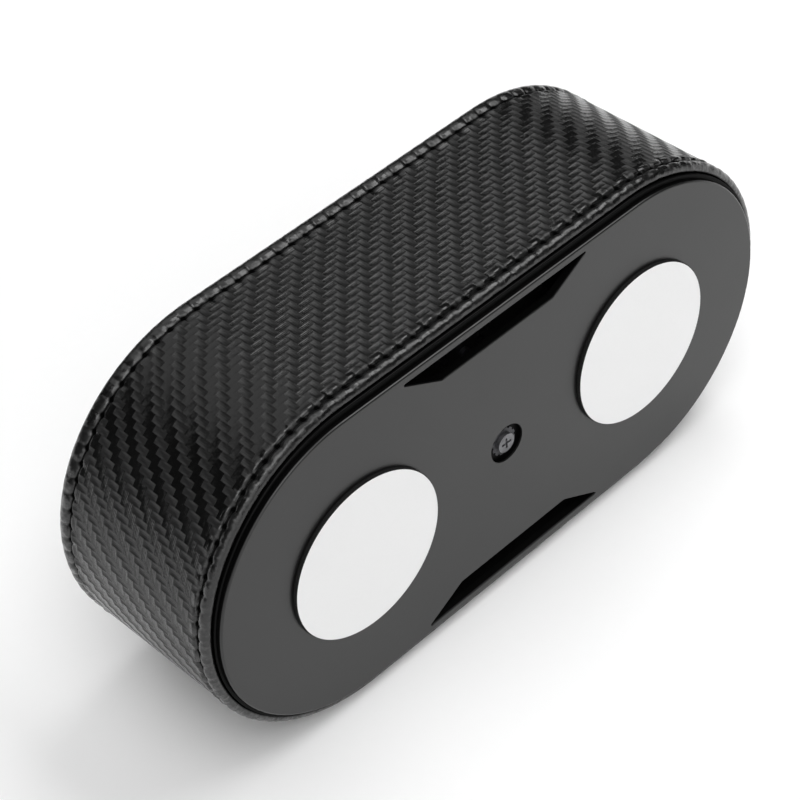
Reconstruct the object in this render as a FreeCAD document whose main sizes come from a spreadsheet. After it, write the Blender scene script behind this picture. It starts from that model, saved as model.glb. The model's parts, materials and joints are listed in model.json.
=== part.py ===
"""Two station watch winder in a leather wrapped, round ended box.

Millimetres. X runs along the box, Z is up and the back plate faces -Y. The origin is on the
surface that the box stands on, under the middle of the leather.
"""
import FreeCAD, Part
import math
import os
from types import SimpleNamespace

import Sketcher

# Driving dimensions, in millimetres, except the tooth counts
SIZES = {
    # leather band and the tube under it
    "station_offset": 52.0,       # each station's distance from the middle of the box
    "wrap_radius": 52.0,          # outside of the leather round the ends
    "wrap_depth": 57.4,           # leather from hem to hem
    "leather_thick": 1.4,
    "hem_round": 1.2,
    "stitch_inset": 3.4,          # middle of the stitch groove, in from the hem
    "stitch_width": 1.4,
    "stitch_sink": 0.6,
    "foam_thick": 2.2,            # between the leather and the shell, fit gaps included
    "shell_wall": 2.7,
    "rim_proud": 2.2,             # faces of the back plate and the front panel beyond the hem
    "lug_offset": 14.0,           # lugs inside the shell that take the screws
    "lug_inset": 4.7,             # screw axis, in from the shell's inner wall
    "lug_half_width": 4.5,
    "deck_lug_depth": 8.0,
    "panel_lug_depth": 4.0,
    # covers on the ends of the shell: the back plate and the front panel
    "cover_inset": 1.2,           # straight sides in from the shell's outside
    "cover_round": 0.6,
    "flange_width": 0.8,          # flange over the hem's inner edge, beyond the shell
    "flange_thick": 0.6,
    "flange_round": 0.3,
    "spigot_depth": 1.2,          # inside the shell at its round ends
    "spigot_thick": 1.5,
    # back plate and what is on it
    "plate_thick": 2.5,
    "notch_margin": 2.3,          # finger slot, in from the straight side of the plate
    "notch_depth": 7.5,
    "notch_outer_half": 34.1,
    "notch_inner_half": 20.3,
    "notch_round": 2.0,
    "notch_tip": 0.4,
    "notch_edge": 0.2,
    "recess_radius": 5.9,
    "recess_depth": 1.5,
    "pad_radius": 24.9,
    "pad_thick": 1.25,
    "pad_round": 0.25,
    "liner_thick": 0.15,
    "washer_radius": 4.3,
    "washer_thick": 0.35,
    "washer_notch": 0.45,
    "washer_notches": 12,
    # screws
    "screw_radius": 1.5,
    "screw_head_radius": 2.9,
    "screw_head_height": 1.1,
    "screw_length": 9.0,
    "plate_screw_length": 11.0,
    "holder_head_radius": 2.3,    # wafer head that clears the cells
    "holder_head_height": 0.6,
    "small_screw_radius": 1.0,
    "small_head_radius": 1.9,
    "small_head_height": 1.0,
    "small_screw_length": 5.5,
    "cross_width": 0.7,
    # clearances
    "fit_gap": 0.15,              # round a piece that drops into another
    "snug_gap": 0.03,             # pressed fit
    "run_gap": 0.06,              # running fit
    "face_gap": 0.2,              # between faces that pass each other
    # deck, battery bay
    "deck_thick": 2.5,
    "boss_radius": 4.5,
    "cell_radius": 7.1,
    "cell_body": 49.2,
    "cell_nub": 1.0,
    "cell_nub_radius": 2.7,
    "cell_gap": 0.3,
    "cell_to_plate": 0.9,
    "holder_floor": 1.2,
    "holder_wall": 1.3,
    "holder_height": 11.0,
    "holder_clear": 0.8,          # under the holder, to the shell
    "contact_thick": 0.4,
    "contact_bump": 0.7,
    "contact_half": 4.5,
    "contact_tab": 2.2,
    "lead_radius": 0.6,
    "lead_offset": 7.0,
    "lead_bend": 8.0,
    "lead_hole_radius": 2.4,
    # drive
    "gear_module": 0.8,
    "spindle_teeth": 52,
    "idler_teeth": 38,
    "pinion_teeth": 16,
    "gear_backlash": 0.16,
    "gear_thick": 4.0,
    "gear_hub_radius": 6.0,
    "gear_hub": 3.0,
    "idler_hub_radius": 4.0,
    "pinion_overhang": 0.4,
    "spindle_radius": 2.5,
    "bush_radius": 4.0,
    "bush_flange_radius": 5.5,
    "bush_flange_thick": 1.0,
    "bush_tail": 0.7,
    "pin_radius": 1.5,
    "clip_thick": 0.6,
    "clip_width": 2.0,
    "clip_groove": 0.5,
    "shaft_end": 1.2,
    "motor_radius": 12.0,
    "motor_length": 15.0,
    "motor_collar_radius": 3.6,
    "motor_shaft_radius": 1.5,
    "motor_bearing": 6.0,
    "motor_screw_offset": 9.5,
    "terminal_offset": 4.0,
    "terminal_length": 2.5,
    # drums and cushions
    "drum_radius": 38.5,
    "drum_wall": 1.8,
    "drum_floor": 2.2,
    "drum_to_panel": 0.9,
    "hub_radius": 7.0,
    "hub_height": 4.8,
    "hub_cap": 1.5,
    "lining_thick": 0.8,
    "grip_half_width": 13.0,
    "grip_height": 19.0,
    "cushion_half_length": 31.0,
    "cushion_half_width": 26.0,
    "cushion_depth": 31.4,
    "cushion_corner": 15.0,
    "cushion_round": 8.0,
    "cushion_clear": 0.3,
    "strap_gap": 1.5,             # behind the cushion, for a strap
    # front panel and controls
    "panel_thick": 2.5,
    "opening_radius": 36.5,
    "trim_width": 2.5,
    "trim_thick": 0.8,
    "trim_wall": 0.6,
    "panel_boss_radius": 4.0,
    "board_half_width": 8.5,
    "board_half_length": 20.0,
    "board_thick": 1.6,
    "board_to_panel": 8.4,
    "post_radius": 2.6,
    "post_offset": 17.0,
    "button_drop": 9.0,           # button axis below the middle of the panel
    "button_radius": 4.0,
    "button_proud": 1.2,
    "button_flange": 1.0,
    "button_flange_thick": 1.0,
    "button_stem_radius": 1.7,
    "button_travel": 1.0,
    "button_switch_half": 3.0,
    "button_switch_height": 4.2,
    "knob_rise": 8.5,             # knob axis above the middle of the panel
    "knob_radius": 6.5,
    "knob_height": 7.5,
    "knob_cap": 2.0,
    "knob_flutes": 16,
    "knob_flute_radius": 0.7,
    "knob_shaft_radius": 2.0,
    "mode_switch_half": 5.0,
    "mode_switch_height": 5.0,
    "led_radius": 1.5,
    "led_proud": 0.6,
    "led_foot": 0.6,
}

doc = FreeCAD.newDocument("watch_winder")
sheet = doc.addObject("Spreadsheet::Sheet", "sizes")
for row, (alias, number) in enumerate(SIZES.items(), start=1):
    sheet.set(f"A{row}", alias)
    sheet.set(f"B{row}", str(number))
    sheet.setAlias(f"B{row}", alias)
doc.recompute()

pieces = []


class Size:
    """A number together with the spreadsheet expression that gives it."""

    def __init__(self, text, value):
        self.text = text
        self.value = value

    @staticmethod
    def of(other):
        return other if isinstance(other, Size) else Size(f"({float(other)})", float(other))

    def __add__(self, other):
        other = Size.of(other)
        return Size(f"({self.text} + {other.text})", self.value + other.value)

    def __sub__(self, other):
        other = Size.of(other)
        return Size(f"({self.text} - {other.text})", self.value - other.value)

    def __mul__(self, other):
        other = Size.of(other)
        return Size(f"({self.text} * {other.text})", self.value * other.value)

    def __truediv__(self, other):
        other = Size.of(other)
        return Size(f"({self.text} / {other.text})", self.value / other.value)

    def __radd__(self, other):
        return Size.of(other) + self

    def __rsub__(self, other):
        return Size.of(other) - self

    def __rmul__(self, other):
        return Size.of(other) * self

    def __neg__(self):
        return Size.of(0) - self

    def __float__(self):
        return self.value

    def root(self):
        return Size(f"sqrt({self.text})", math.sqrt(self.value))


S = SimpleNamespace(**{alias: Size(f"sizes.{alias}", number) for alias, number in SIZES.items()})

# Levels along Y, from the back of the box to its front
hem = S.wrap_depth / 2
rim = hem + S.rim_proud
plate_in = S.plate_thick - rim
cell_y = plate_in + S.cell_to_plate + S.cell_radius
deck_rear = cell_y + S.cell_radius + S.cell_gap + S.holder_floor
deck_front = deck_rear + S.deck_thick
bush_rear = deck_rear - S.bush_tail
gear_front = bush_rear - S.face_gap
gear_rear = gear_front - S.gear_thick
hub_rear = gear_rear - S.gear_hub
clip_front = hub_rear - S.face_gap / 2
shaft_rear = clip_front - S.clip_thick - S.shaft_end
drum_rear = deck_front + S.bush_flange_thick + S.face_gap / 2
drum_floor_front = drum_rear + S.drum_floor
hub_front = drum_floor_front + S.hub_height
panel_in = rim - S.panel_thick
drum_front = panel_in - S.drum_to_panel
cushion_rear = hub_front + S.strap_gap
cushion_front = cushion_rear + S.cushion_depth
board_front = panel_in - S.board_to_panel
board_rear = board_front - S.board_thick
panel_lug_front = panel_in - S.panel_boss_radius
panel_lug_rear = panel_lug_front - S.panel_lug_depth

# Radii and heights
shell_radius = S.wrap_radius - S.leather_thick - S.foam_thick
shell_inner = shell_radius - S.shell_wall
insert_radius = shell_inner - S.fit_gap
cover_radius = shell_radius - S.cover_inset
cover_span = S.station_offset + S.cover_inset
drum_inner = S.drum_radius - S.drum_wall
middle = S.wrap_radius
lug_height = shell_inner - S.lug_inset
holder_low = middle - shell_inner + S.holder_clear
cell_z = holder_low + S.holder_wall + S.cell_gap + S.cell_radius
holder_high = cell_z + S.cell_radius + S.cell_gap + S.holder_wall
cell_length = S.cell_body + S.cell_nub
bay_half = cell_length + S.cell_gap + S.contact_thick + S.contact_bump

# Gear centres: the pinion, an idler and a spindle stand in one line on each side
spindle_pitch = S.gear_module * S.spindle_teeth / 2
idler_pitch = S.gear_module * S.idler_teeth / 2
pinion_pitch = S.gear_module * S.pinion_teeth / 2
train_length = pinion_pitch + 2 * idler_pitch + spindle_pitch
pinion_rise = (train_length * train_length - S.station_offset * S.station_offset).root()
idler_share = (pinion_pitch + idler_pitch) / train_length
idler_offset = S.station_offset * idler_share
idler_rise = pinion_rise - pinion_rise * idler_share
motor_z = middle + pinion_rise

SIDES = (("left", -1), ("right", 1))
TOWARD_BACK = FreeCAD.Rotation(FreeCAD.Vector(1, 0, 0), 90)
ALONG_X = FreeCAD.Rotation(FreeCAD.Vector(0, 1, 0), 90)


def bind(owner, name, size):
    owner.setExpression(name, Size.of(size).text)


def place(owner, x, y, z, turn=None):
    """Put an object at a point given by sizes."""
    spot = [Size.of(size) for size in (x, y, z)]
    base = FreeCAD.Vector(*[size.value for size in spot])
    owner.Placement = FreeCAD.Placement(base, turn or FreeCAD.Rotation())
    for axis, size in zip("xyz", spot):
        bind(owner, f"Placement.Base.{axis}", size)


def piece(label, owner):
    """Name a finished sub-part."""
    owner.Label = label
    pieces.append(owner)
    return owner


def cylinder(name, radius, y_rear, y_front, x=0, z=0):
    """A cylinder along Y."""
    owner = doc.addObject("Part::Cylinder", name)
    bind(owner, "Radius", radius)
    bind(owner, "Height", Size.of(y_front) - y_rear)
    place(owner, x, y_front, z, TOWARD_BACK)
    return owner


def box(name, x_span, y_span, z_span):
    owner = doc.addObject("Part::Box", name)
    for prop, (low, high) in zip(("Length", "Width", "Height"), (x_span, y_span, z_span)):
        bind(owner, prop, Size.of(high) - low)
    place(owner, x_span[0], y_span[0], z_span[0])
    return owner


def fuse(name, *solids):
    owner = doc.addObject("Part::MultiFuse", name)
    owner.Shapes = list(solids)
    return owner


def cut(name, base, *tools):
    owner = doc.addObject("Part::Cut", name)
    owner.Base = base
    owner.Tool = tools[0] if len(tools) == 1 else fuse(f"{name}_tools", *tools)
    return owner


def group(name, solids):
    owner = doc.addObject("Part::Compound", name)
    owner.Links = list(solids)
    return owner


def ring(name, outer, inner, y_rear, y_front, x=0, z=0):
    outside = cylinder(f"{name}_outside", outer, y_rear, y_front, x, z)
    return cut(name, outside, cylinder(f"{name}_bore", inner, y_rear, y_front, x, z))


def hold(sketch, geometry, point, x, z):
    """Fix a sketch point at sizes measured from the sketch's origin."""
    for kind, axis, size in (("DistanceX", -2, Size.of(x)), ("DistanceY", -1, Size.of(z))):
        if size.value == 0:
            sketch.addConstraint(Sketcher.Constraint("PointOnObject", geometry, point, axis))
            continue
        index = sketch.addConstraint(Sketcher.Constraint(kind, -1, 1, geometry, point, size.value))
        bind(sketch, f"Constraints[{index}]", size)


def hold_radius(sketch, geometry, radius):
    index = sketch.addConstraint(Sketcher.Constraint("Radius", geometry, radius.value))
    bind(sketch, f"Constraints[{index}]", radius)


def circle(radius, x=0, z=0):
    """An outline to draw: a circle."""
    def draw(sketch):
        centre = FreeCAD.Vector(Size.of(x).value, Size.of(z).value, 0)
        shape = Part.Circle(centre, FreeCAD.Vector(0, 0, 1), radius.value)
        index = sketch.addGeometry(shape)
        hold_radius(sketch, index, radius)
        hold(sketch, index, 3, x, z)
    return draw


def polygon(*points):
    """An outline to draw: straight sides through points given by sizes."""
    def draw(sketch):
        spots = [FreeCAD.Vector(Size.of(x).value, Size.of(z).value, 0) for x, z in points]
        first = sketch.GeometryCount
        count = len(points)
        for index in range(count):
            sketch.addGeometry(Part.LineSegment(spots[index], spots[(index + 1) % count]))
        for index in range(count):
            following = first + (index + 1) % count
            sketch.addConstraint(Sketcher.Constraint("Coincident", first + index, 2, following, 1))
        for index, (x, z) in enumerate(points):
            hold(sketch, first + index, 1, x, z)
    return draw


def rectangle(x_span, z_span):
    return polygon((x_span[0], z_span[0]), (x_span[1], z_span[0]),
                   (x_span[1], z_span[1]), (x_span[0], z_span[1]))


def stadium(radius, half_length=S.station_offset):
    """An outline to draw: two straight sides joined by half circles, as a rule round the stations."""
    def draw(sketch):
        span = half_length.value
        reach = radius.value
        up = FreeCAD.Vector(0, 0, 1)
        right = Part.Circle(FreeCAD.Vector(span, 0, 0), up, reach)
        left = Part.Circle(FreeCAD.Vector(-span, 0, 0), up, reach)
        corners = [FreeCAD.Vector(x, z, 0) for x, z in
                   ((span, reach), (-span, reach), (-span, -reach), (span, -reach))]
        first = sketch.addGeometry(Part.ArcOfCircle(right, -math.pi / 2, math.pi / 2))
        sketch.addGeometry(Part.LineSegment(corners[0], corners[1]))
        sketch.addGeometry(Part.ArcOfCircle(left, math.pi / 2, 3 * math.pi / 2))
        sketch.addGeometry(Part.LineSegment(corners[2], corners[3]))
        for index in range(4):
            following = first + (index + 1) % 4
            sketch.addConstraint(Sketcher.Constraint("Tangent", first + index, 2, following, 1))
        sketch.addConstraint(Sketcher.Constraint("Equal", first, first + 2))
        sketch.addConstraint(Sketcher.Constraint("Symmetric", first, 3, first + 2, 3, -1, 1))
        hold_radius(sketch, first, radius)
        hold(sketch, first, 3, half_length, 0)
    return draw


class Moulding:
    """A body made of outlines drawn square to Y and pushed along Y."""

    def __init__(self, label, x=0):
        self.label = label
        self.body = doc.addObject("PartDesign::Body", label)
        self.plane = next(plane for plane in self.body.Origin.OriginFeatures
                          if plane.Role == "XZ_Plane")
        self.steps = 0
        place(self.body, x, 0, middle)
        piece(label, self.body)

    def name(self, what):
        self.steps += 1
        return f"{self.label}_{what}_{self.steps}"

    def volume(self):
        return self.body.Shape.Volume if self.steps > 1 else 0.0

    def push(self, kind, y_rear, y_front, outlines):
        sketch = self.body.newObject("Sketcher::SketchObject", self.name("outline"))
        sketch.AttachmentSupport = [(self.plane, "")]
        sketch.MapMode = "FlatFace"
        bind(sketch, "AttachmentOffset.Base.z", -Size.of(y_rear))
        for draw in outlines:
            draw(sketch)
        before = self.volume()
        feature = self.body.newObject(f"PartDesign::{kind}", self.name(kind.lower()))
        feature.Profile = sketch
        feature.Reversed = kind == "Pad"
        bind(feature, "Length", Size.of(y_front) - y_rear)
        doc.recompute()
        grown = self.body.Shape.Volume - before
        if (grown > 0) != (kind == "Pad"):
            raise RuntimeError(f"{feature.Name} changed nothing")

    def pad(self, y_rear, y_front, *outlines):
        self.push("Pad", y_rear, y_front, outlines)

    def pocket(self, y_rear, y_front, *outlines):
        self.push("Pocket", y_rear, y_front, outlines)

    def fillet(self, radius, wanted):
        """Round the edges that pass the test, which sees them in the body's own frame."""
        last = self.body.Tip
        names = [f"Edge{index}" for index, edge in enumerate(last.Shape.Edges, start=1) if wanted(edge)]
        feature = self.body.newObject("PartDesign::Fillet", self.name("fillet"))
        feature.Base = (last, names)
        bind(feature, "Radius", radius)
        doc.recompute()


def near(first, second):
    return abs(first - second) < 0.01


def points(edge):
    return [vertex.Point for vertex in edge.Vertexes]


def at_level(*levels):
    """A test for edges that lie at one of the given depths."""
    def wanted(edge):
        return any(all(near(point.y, level.value) for point in points(edge)) for level in levels)
    return wanted


def on_stadium(radius, *levels):
    """A test for edges on a stadium outline of the given radius at one of the given depths."""
    def wanted(edge):
        beyond = [max(abs(point.x) - S.station_offset.value, 0.0) for point in points(edge)]
        reaches = [math.hypot(extra, point.z) for extra, point in zip(beyond, points(edge))]
        return all(near(reach, radius.value) for reach in reaches) and at_level(*levels)(edge)
    return wanted


def at_corners(x, z):
    """A test for edges along Y at the four points that mirror one point."""
    def wanted(edge):
        first, last = points(edge)[0], points(edge)[-1]
        through = not near(first.y, last.y)
        return through and all(near(abs(point.x), x.value) and near(abs(point.z), z.value)
                               for point in (first, last))
    return wanted


def in_slots(outer, inner):
    """A test for edges of the finger slots on the outside of the back plate."""
    def wanted(edge):
        heights = [abs(point.z) for point in points(edge)]
        within = inner.value - 0.01 < min(heights) and max(heights) < outer.value + 0.01
        return within and at_level(-rim)(edge)
    return wanted


def four(x, z, radius):
    """Four circles, mirrored left to right and top to bottom."""
    return [circle(radius, sign_x * x, sign_z * z) for sign_x in (-1, 1) for sign_z in (-1, 1)]


def pair(x, z, radius):
    return [circle(radius, sign * x, z) for sign in (-1, 1)]


def make_leather_wrap():
    wrap = Moulding("leather_wrap")
    inside = hem - S.leather_thick
    wrap.pad(-hem, hem, stadium(S.wrap_radius))
    wrap.pocket(-hem, hem, stadium(shell_radius + S.fit_gap))
    wrap.pocket(-inside, inside, stadium(S.wrap_radius - S.leather_thick))
    wrap.fillet(S.hem_round, on_stadium(S.wrap_radius, -hem, hem))
    for sign in (-1, 1):
        seam = sign * (hem - S.stitch_inset)
        outlines = (stadium(S.wrap_radius + S.stitch_sink), stadium(S.wrap_radius - S.stitch_sink))
        wrap.pocket(seam - S.stitch_width / 2, seam + S.stitch_width / 2, *outlines)


def make_foam_sleeve():
    sleeve = Moulding("foam_sleeve")
    end = hem - S.leather_thick - S.fit_gap
    outer = S.wrap_radius - S.leather_thick - S.fit_gap
    sleeve.pad(-end, end, stadium(outer), stadium(shell_radius + S.fit_gap))


def make_shell():
    shell = Moulding("shell")
    shell.pad(plate_in, panel_in, stadium(shell_radius))
    shell.pocket(plate_in, panel_in, stadium(shell_inner))
    inner_face = lug_height - S.lug_half_width
    outer_face = shell_inner + S.shell_wall / 2
    lugs = []
    for sign in (-1, 1):
        x_span = sign * S.lug_offset - S.lug_half_width, sign * S.lug_offset + S.lug_half_width
        lugs.append(rectangle(x_span, (inner_face, outer_face)))
        lugs.append(rectangle(x_span, (-outer_face, -inner_face)))
    holes = four(S.lug_offset, lug_height, S.screw_radius + S.snug_gap)
    deck_lug_front = deck_front + S.deck_lug_depth
    for low, high in ((deck_front, deck_lug_front), (panel_lug_rear, panel_lug_front)):
        shell.pad(low, high, *lugs)
        shell.pocket(low, high, *holes)


def cover(label, side, inside):
    """A cover over one end of the shell: -1 is the back and 1 the front."""
    def levels(near, far):
        return (near, far) if side > 0 else (-far, -near)

    made = Moulding(label)
    made.pad(*levels(inside, rim), stadium(cover_radius, cover_span))
    made.fillet(S.cover_round, at_level(side * rim))
    flange_radius = shell_radius + S.flange_width
    flange_in = hem + S.fit_gap
    flange_out = flange_in + S.flange_thick
    made.pad(*levels(flange_in, flange_out), stadium(flange_radius), stadium(insert_radius))
    made.fillet(S.flange_round, on_stadium(flange_radius, side * flange_out))
    spigot = levels(inside - S.spigot_depth, inside)
    made.pad(*spigot, stadium(insert_radius), stadium(insert_radius - S.spigot_thick))
    made.pocket(*spigot, rectangle((-S.station_offset, S.station_offset), (-shell_inner, shell_inner)))
    return made


def make_back_plate():
    plate = cover("back_plate", -1, rim - S.plate_thick)
    outer = cover_radius - S.notch_margin
    floor = outer - S.notch_depth
    for sign in (-1, 1):
        slot = polygon((-S.notch_outer_half, sign * outer), (S.notch_outer_half, sign * outer),
                       (S.notch_inner_half, sign * floor), (-S.notch_inner_half, sign * floor))
        plate.pocket(-rim, plate_in, slot)
    plate.fillet(S.notch_round, at_corners(S.notch_inner_half, floor))
    plate.fillet(S.notch_tip, at_corners(S.notch_outer_half, outer))
    plate.fillet(S.notch_edge, in_slots(outer, floor))
    plate.pocket(-rim, S.recess_depth - rim, circle(S.recess_radius))
    plate.pocket(-rim, plate_in, circle(S.screw_radius + S.fit_gap))


def make_pads():
    for side, sign in SIDES:
        x = sign * S.station_offset
        foam_rear = -rim - S.pad_thick
        foam = cylinder(f"pad_{side}_disc", S.pad_radius, foam_rear, -rim, x, middle)
        piece(f"pad_{side}", foam)
        liner_radius = S.pad_radius - S.pad_round
        liner = cylinder(f"liner_{side}_disc", liner_radius, foam_rear - S.liner_thick, foam_rear, x, middle)
        piece(f"pad_liner_{side}", liner)


def screw(name, spot, seat, thread, head, length):
    """A pan head screw that points to the front, with a cross recess in its head."""
    x, z = spot
    head_radius, head_height = head
    head_rear = seat - head_height
    recess = head_rear, seat - head_height / 2
    half = S.cross_width / 2
    arm = head_radius * 0.6
    body = fuse(f"{name}_solid", cylinder(f"{name}_head", head_radius, head_rear, seat, x, z),
                cylinder(f"{name}_thread", thread, seat, seat + length, x, z))
    level = box(f"{name}_level", (x - arm, x + arm), recess, (z - half, z + half))
    upright = box(f"{name}_upright", (x - half, x + half), recess, (z - arm, z + arm))
    return cut(name, body, level, upright)


def large_screw(name, spot, seat, length):
    head = S.screw_head_radius, S.screw_head_height
    return screw(name, spot, seat, S.screw_radius, head, length)


def small_screw(name, spot, seat):
    head = S.small_head_radius, S.small_head_height
    return screw(name, spot, seat, S.small_screw_radius, head, S.small_screw_length)


def make_plate_screw():
    washer_rear = S.recess_depth - rim - S.washer_thick
    plain = ring("washer_plain", S.washer_radius, S.screw_radius + S.fit_gap,
                 washer_rear, S.recess_depth - rim, 0, middle)
    notches = []
    count = int(S.washer_notches.value)
    for index in range(count):
        turn = 2 * math.pi * index / count
        x = S.washer_radius * math.cos(turn)
        z = middle + S.washer_radius * math.sin(turn)
        notches.append(cylinder(f"washer_notch_{index}", S.washer_notch, washer_rear,
                                S.recess_depth - rim, x, z))
    piece("lock_washer", cut("washer", plain, *notches))
    spot = Size.of(0), middle
    piece("plate_screw", large_screw("plate_screw_cut", spot, washer_rear, S.plate_screw_length))


def make_deck():
    deck = Moulding("deck")
    deck.pad(deck_rear, deck_front, stadium(insert_radius))
    deck.pad(plate_in + S.face_gap, deck_rear, circle(S.boss_radius))
    deck.pocket(plate_in, deck_front, circle(S.screw_radius + S.fit_gap))
    screws = four(S.lug_offset, lug_height, S.screw_radius + S.fit_gap)
    bushes = pair(S.station_offset, 0, S.bush_radius + S.snug_gap)
    pins = pair(idler_offset, idler_rise, S.pin_radius + S.snug_gap)
    collar = circle(S.motor_collar_radius + S.fit_gap, 0, pinion_rise)
    motor_holes = [circle(S.small_screw_radius + S.fit_gap, 0, pinion_rise + sign * S.motor_screw_offset)
                   for sign in (-1, 1)]
    leads = pair(S.lead_offset, lead_height(deck_rear + S.deck_thick / 2) - middle, S.lead_hole_radius)
    deck.pocket(deck_rear, deck_front, *screws, *bushes, *pins, collar, *motor_holes, *leads)


def make_deck_screws():
    upper = [large_screw(f"deck_screw_{side}", (sign * S.lug_offset, middle + lug_height),
                         deck_rear, S.screw_length) for side, sign in SIDES]
    piece("deck_screws", group("deck_screw_pair", upper))
    holder_seat = deck_rear - S.holder_floor
    wafer_head = S.holder_head_radius, S.holder_head_height
    lower = [screw(f"holder_screw_{side}", (sign * S.lug_offset, middle - lug_height), holder_seat,
                   S.screw_radius, wafer_head, S.screw_length) for side, sign in SIDES]
    piece("holder_screws", group("holder_screw_pair", lower))


def make_battery_bay():
    outside = box("holder_outside", (-bay_half - S.holder_wall, bay_half + S.holder_wall),
                  (deck_rear - S.holder_height, deck_rear), (holder_low, holder_high))
    trough = box("holder_trough", (-bay_half, bay_half),
                 (deck_rear - S.holder_height, deck_rear - S.holder_floor),
                 (holder_low + S.holder_wall, holder_high - S.holder_wall))
    holes = [cylinder(f"holder_hole_{side}", S.screw_radius + S.fit_gap, deck_rear - S.holder_floor,
                      deck_rear, sign * S.lug_offset, middle - lug_height) for side, sign in SIDES]
    tab_half = S.contact_half + S.fit_gap
    slots = []
    for side, sign in SIDES:
        x_span = sorted((sign * bay_half, sign * (bay_half - S.contact_thick - S.fit_gap)), key=float)
        slots.append(box(f"holder_slot_{side}", x_span, (cell_y - tab_half, cell_y + tab_half),
                         (holder_high - S.holder_wall, holder_high)))
    piece("battery_holder", cut("holder", outside, trough, *holes, *slots))
    starts = {"left": -cell_length - S.cell_gap / 2, "right": S.cell_gap / 2}
    for side, start in starts.items():
        parts = []
        steps = (("can", S.cell_radius, start, S.cell_body),
                 ("nub", S.cell_nub_radius, start + S.cell_body, S.cell_nub))
        for what, radius, x, length in steps:
            solid = doc.addObject("Part::Cylinder", f"cell_{side}_{what}")
            bind(solid, "Radius", radius)
            bind(solid, "Height", length)
            place(solid, x, cell_y, cell_z, ALONG_X)
            parts.append(solid)
        piece(f"cell_{side}", fuse(f"cell_{side}_solid", *parts))
    for side, sign in SIDES:
        wall = sign * bay_half
        face = sign * (bay_half - S.contact_thick)
        tip = sign * (bay_half - S.contact_thick - S.contact_bump)
        y_span = cell_y - S.contact_half, cell_y + S.contact_half
        plate_x = sorted((wall, face), key=float)
        bump_x = sorted((face, tip), key=float)
        plate = box(f"contact_{side}_plate", plate_x, y_span,
                    (cell_z - S.contact_half, holder_high + S.contact_tab))
        bump = box(f"contact_{side}_bump", bump_x, (cell_y - S.cell_nub_radius, cell_y + S.cell_nub_radius),
                   (cell_z - S.cell_nub_radius, cell_z + S.cell_nub_radius))
        piece(f"contact_{side}", fuse(f"contact_{side}_solid", plate, bump))


def lead_points(sign):
    """A battery lead's route: along the holder, then through the deck to the control board."""
    start_z = holder_high + S.contact_tab / 2
    x = sign * S.lead_offset
    return ((sign * (bay_half - S.contact_thick), cell_y, start_z),
            (x, cell_y, start_z),
            (x, board_rear - S.cell_gap, middle - S.board_half_length + S.lead_bend))


def lead_height(y):
    """Height of the battery leads where they pass a depth on their way to the board."""
    corner, end = lead_points(1)[1:]
    return corner[2] + (end[2] - corner[2]) * ((y - corner[1]) / (end[1] - corner[1]))


def tube(name, points, radius, bend):
    """A round wire along two straight runs joined by one arc."""
    start, corner, end = [FreeCAD.Vector(*[Size.of(size).value for size in point]) for point in points]
    back = (start - corner).normalize()
    on = (end - corner).normalize()
    half_turn = (math.pi - back.getAngle(on)) / 2
    setback = bend.value * math.tan(half_turn)
    first = corner + back * setback
    last = corner + on * setback
    bisector = (back + on).normalize()
    centre = corner + bisector * (bend.value / math.cos(half_turn))
    crown = centre - bisector * bend.value
    runs = [Part.LineSegment(start, first), Part.Arc(first, crown, last), Part.LineSegment(last, end)]
    path = Part.Wire([run.toShape() for run in runs])
    section = Part.Wire([Part.Circle(start, -back, radius.value).toShape()])
    owner = doc.addObject("Part::Feature", name)
    owner.Shape = path.makePipeShell([section], True, False)
    owner.Placement = FreeCAD.Placement()
    expected = math.pi * radius.value ** 2 * path.Length
    if abs(owner.Shape.Volume - expected) > 0.01 * expected:
        raise RuntimeError(f"{name} isn't a plain tube")
    return owner


def make_leads():
    battery = [tube(f"battery_lead_{side}", lead_points(sign), S.lead_radius, S.lead_bend)
               for side, sign in SIDES]
    piece("battery_leads", group("battery_lead_pair", battery))
    y = deck_front + S.motor_length + S.terminal_length / 2
    board_z = middle + S.post_offset - S.terminal_offset
    motor = []
    for side, sign in SIDES:
        x = sign * S.terminal_offset
        route = ((x, y, motor_z - S.contact_thick), (x, y, board_z), (x, board_rear - S.cell_gap, board_z))
        motor.append(tube(f"motor_lead_{side}", route, S.lead_radius, S.terminal_offset))
    piece("motor_leads", group("motor_lead_pair", motor))


def involute(angle):
    return math.tan(angle) - angle


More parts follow.
